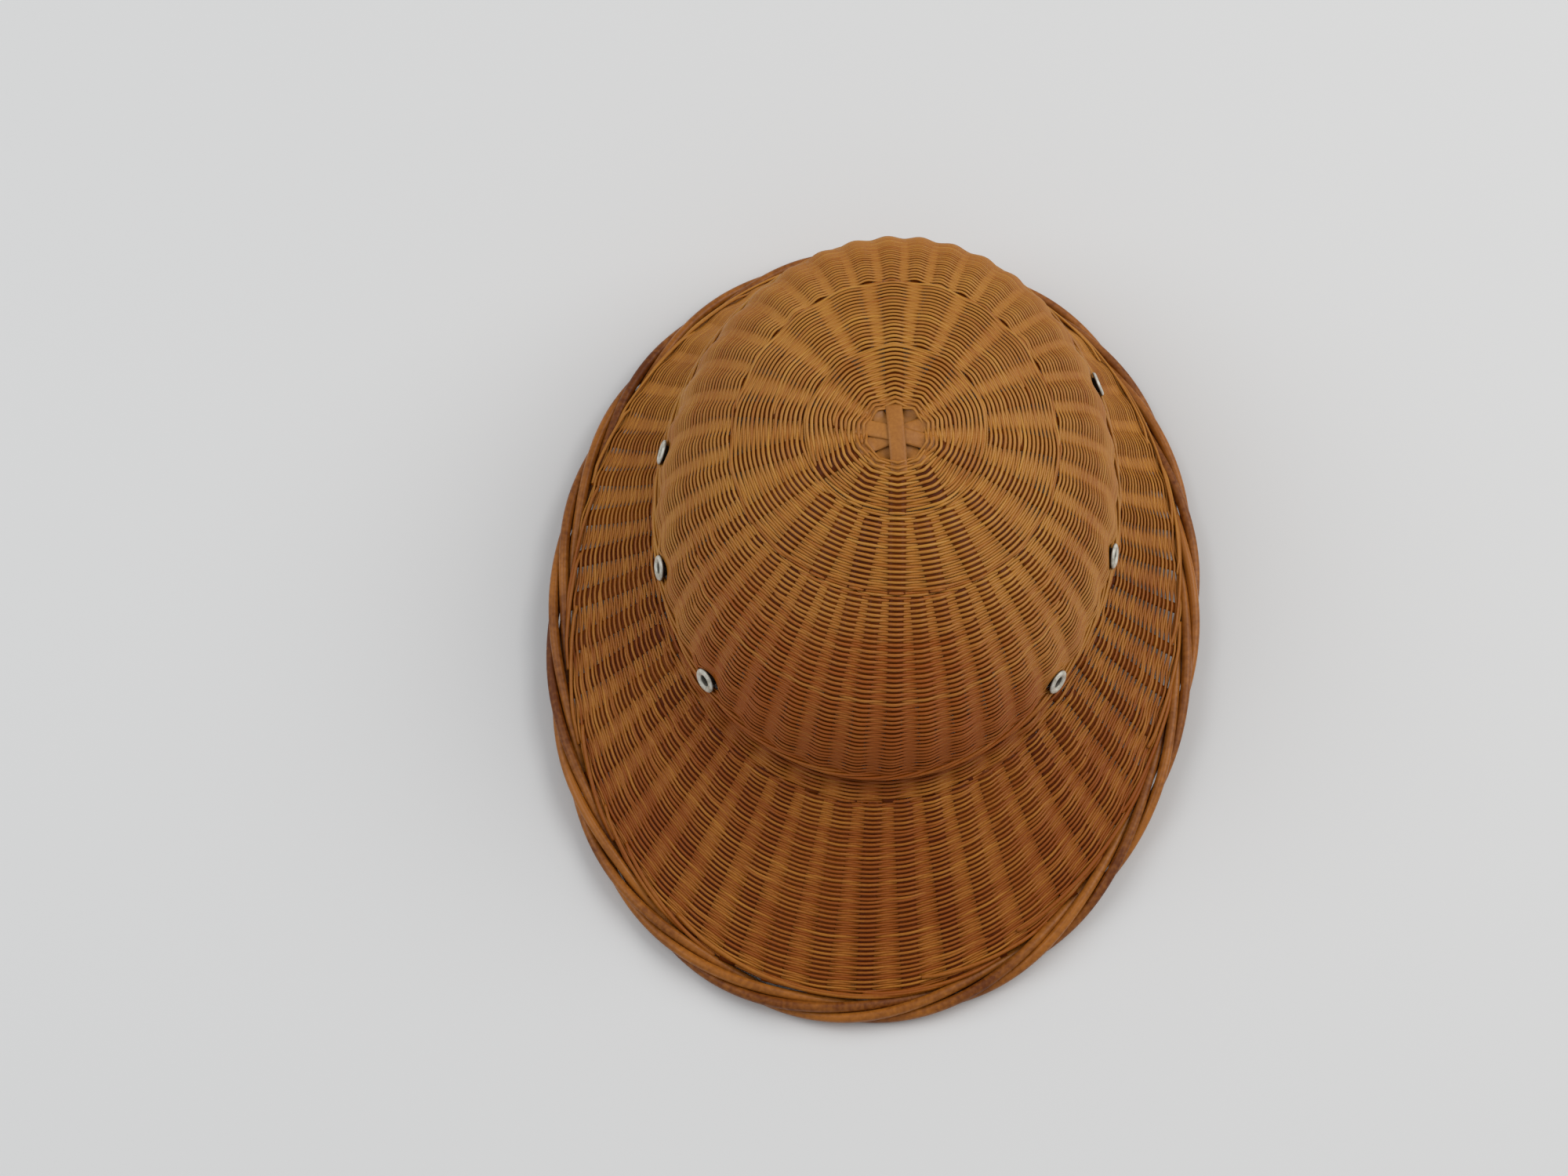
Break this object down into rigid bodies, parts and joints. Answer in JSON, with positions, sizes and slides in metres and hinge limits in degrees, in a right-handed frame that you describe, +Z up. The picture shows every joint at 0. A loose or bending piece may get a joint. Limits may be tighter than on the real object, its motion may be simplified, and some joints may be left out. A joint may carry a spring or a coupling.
{
  "type": "pith helmet",
  "caption": "Woven cane sun helmet: a ribbed dome with crossed splints at its crown, a flared sloping brim with a rolled border, and metal eyelets low in the wall.",
  "frame": {"origin": "centre of the bounding box on the surface that the brim rests on", "axes": "+Z up through the crown, -Y towards the long front brim, +X to the wearer's left side as seen from the front"},
  "size_m": [0.28, 0.3556, 0.133],
  "materials": {
    "crown_weave_cane": "satin",
    "brim_weave_cane": "satin",
    "border_rod_cane": "satin",
    "flat_splint_cane": "satin",
    "eyelet_metal": "satin"
  },
  "bodies": {
    "root": {"crown": "crown_weave_cane", "brim": "brim_weave_cane", "border_rod_1": "border_rod_cane", "border_rod_2": "border_rod_cane", "border_rod_3": "border_rod_cane", "border_rod_4": "border_rod_cane", "hub_splint_1": "flat_splint_cane", "hub_splint_2": "flat_splint_cane", "hub_splint_3": "flat_splint_cane", "hub_splint_4": "flat_splint_cane", "hub_splint_5": "flat_splint_cane", "eyelet_left_front": "eyelet_metal", "eyelet_left_middle": "eyelet_metal", "eyelet_left_rear": "eyelet_metal", "eyelet_right_front": "eyelet_metal", "eyelet_right_middle": "eyelet_metal", "eyelet_right_rear": "eyelet_metal"}
  },
  "joints": []
}
